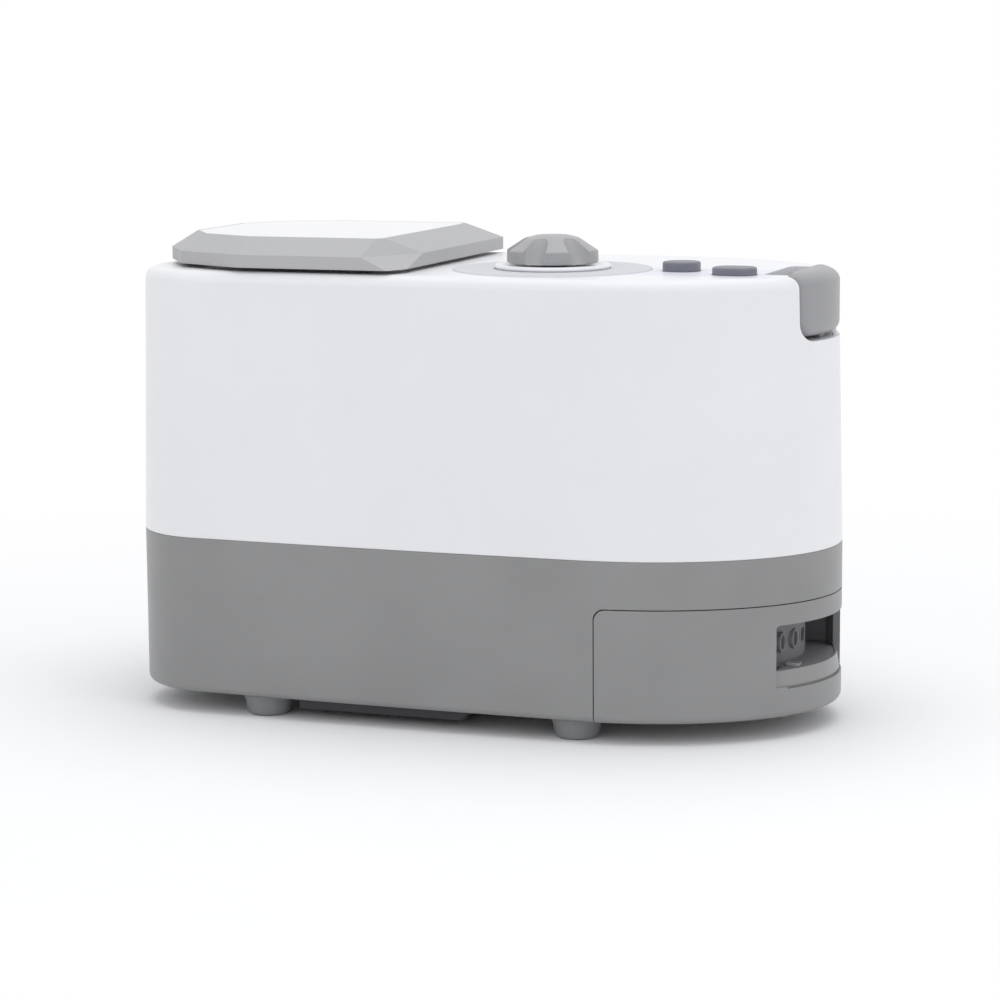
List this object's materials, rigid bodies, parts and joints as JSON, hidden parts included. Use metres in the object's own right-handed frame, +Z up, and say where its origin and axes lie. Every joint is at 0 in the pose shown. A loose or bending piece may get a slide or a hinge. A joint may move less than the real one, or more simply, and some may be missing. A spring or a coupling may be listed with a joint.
{
  "type": "compression therapy pump",
  "caption": "Table-top air pump for compression sleeves, with a flip-up lid, a pressure knob, push buttons, a hose socket and a press-down release tab.",
  "frame": {"origin": "on the surface it stands on, under the middle of the body's length and width", "axes": "+Z up, +X towards the end with the hose socket, -Y towards the front"},
  "size_m": [0.264, 0.126, 0.1795],
  "materials": {
    "grey_case": "fine satin grain",
    "white_case": "smooth satin",
    "socket_grey": "matt",
    "dark_plastic": "matt",
    "foam": "open-cell foam",
    "foot_rubber": "matt",
    "lid_grey": "smooth satin",
    "pale_plastic": "matt",
    "dial_print": "matt",
    "knob_grey": "satin",
    "board": "coated",
    "button_blue_grey": "matt",
    "tab_grey": "satin",
    "steel": "brushed",
    "coil_iron": "laminated",
    "cast_alloy": "cast",
    "hose": "smooth",
    "coil_tape": "taped winding"
  },
  "bodies": {
    "housing": {"base_shell": "grey_case", "top_shell": "white_case", "end_cover": "grey_case", "tab_well": "white_case", "port_block": "socket_grey", "socket_frame": "socket_grey", "bottom_plate": "dark_plastic", "filter_pad": "foam", "foot_front_left": "foot_rubber", "foot_front_right": "foot_rubber", "foot_rear_left": "foot_rubber", "foot_rear_right": "foot_rubber", "hinge_pins": "steel", "storage_tray": "pale_plastic", "dial_plate": "dial_print", "knob_collar": "white_case", "pressure_control": "dark_plastic", "control_board": "board", "release_spring": "steel", "pump_frame": "coil_iron", "pump_head_left": "cast_alloy", "pump_head_right": "cast_alloy", "pump_mounts": "foot_rubber", "valve_body": "pale_plastic", "valve_motor": "steel", "feed_tube": "hose", "outlet_tubes": "hose", "main_board": "board", "transformer": "coil_tape", "power_inlet": "dark_plastic", "case_screws": "steel", "board_screws": "steel"},
    "lid": {"lid_frame": "lid_grey", "lid_panel": "white_case"},
    "knob": {"knob": "knob_grey"},
    "start_button": {"button_start": "button_blue_grey"},
    "mode_button": {"button_mode": "button_blue_grey"},
    "release": {"release_tab": "tab_grey", "release_link": "steel"},
    "rotor": {"valve_rotor": "pale_plastic"},
    "armature": {"armature": "steel"}
  },
  "joints": [
    {"name": "lid_hinge", "type": "hinge", "parent": "housing", "child": "lid", "pos_m": [-0.1212, 0, 0.1712], "axis": [0, -1, 0], "range_deg": [0, 95]},
    {"name": "knob_turn", "type": "hinge", "parent": "housing", "child": "knob", "pos_m": [0.027, -0.016, 0.17], "axis": [0, 0, 1], "range_deg": [-135, 135]},
    {"name": "button_start_press", "type": "slide", "parent": "housing", "child": "start_button", "axis": [0, 0, -1], "range_m": [0, 0.0012], "stiffness_N_per_m": 800},
    {"name": "button_mode_press", "type": "slide", "parent": "housing", "child": "mode_button", "axis": [0, 0, -1], "range_m": [0, 0.0012], "stiffness_N_per_m": 800},
    {"name": "release_press", "type": "slide", "parent": "housing", "child": "release", "axis": [0, 0, -1], "range_m": [0, 0.0012], "stiffness_N_per_m": 3000, "deforming": ["release_spring"]},
    {"name": "valve_turn", "type": "hinge", "parent": "housing", "child": "rotor", "pos_m": [0.05, -0.0085, 0.0325], "axis": [1, 0, 0], "continuous": true},
    {"name": "armature_slide", "type": "slide", "parent": "housing", "child": "armature", "axis": [1, 0, 0], "range_m": [-0.0015, 0.0015], "stiffness_N_per_m": 5000}
  ]
}
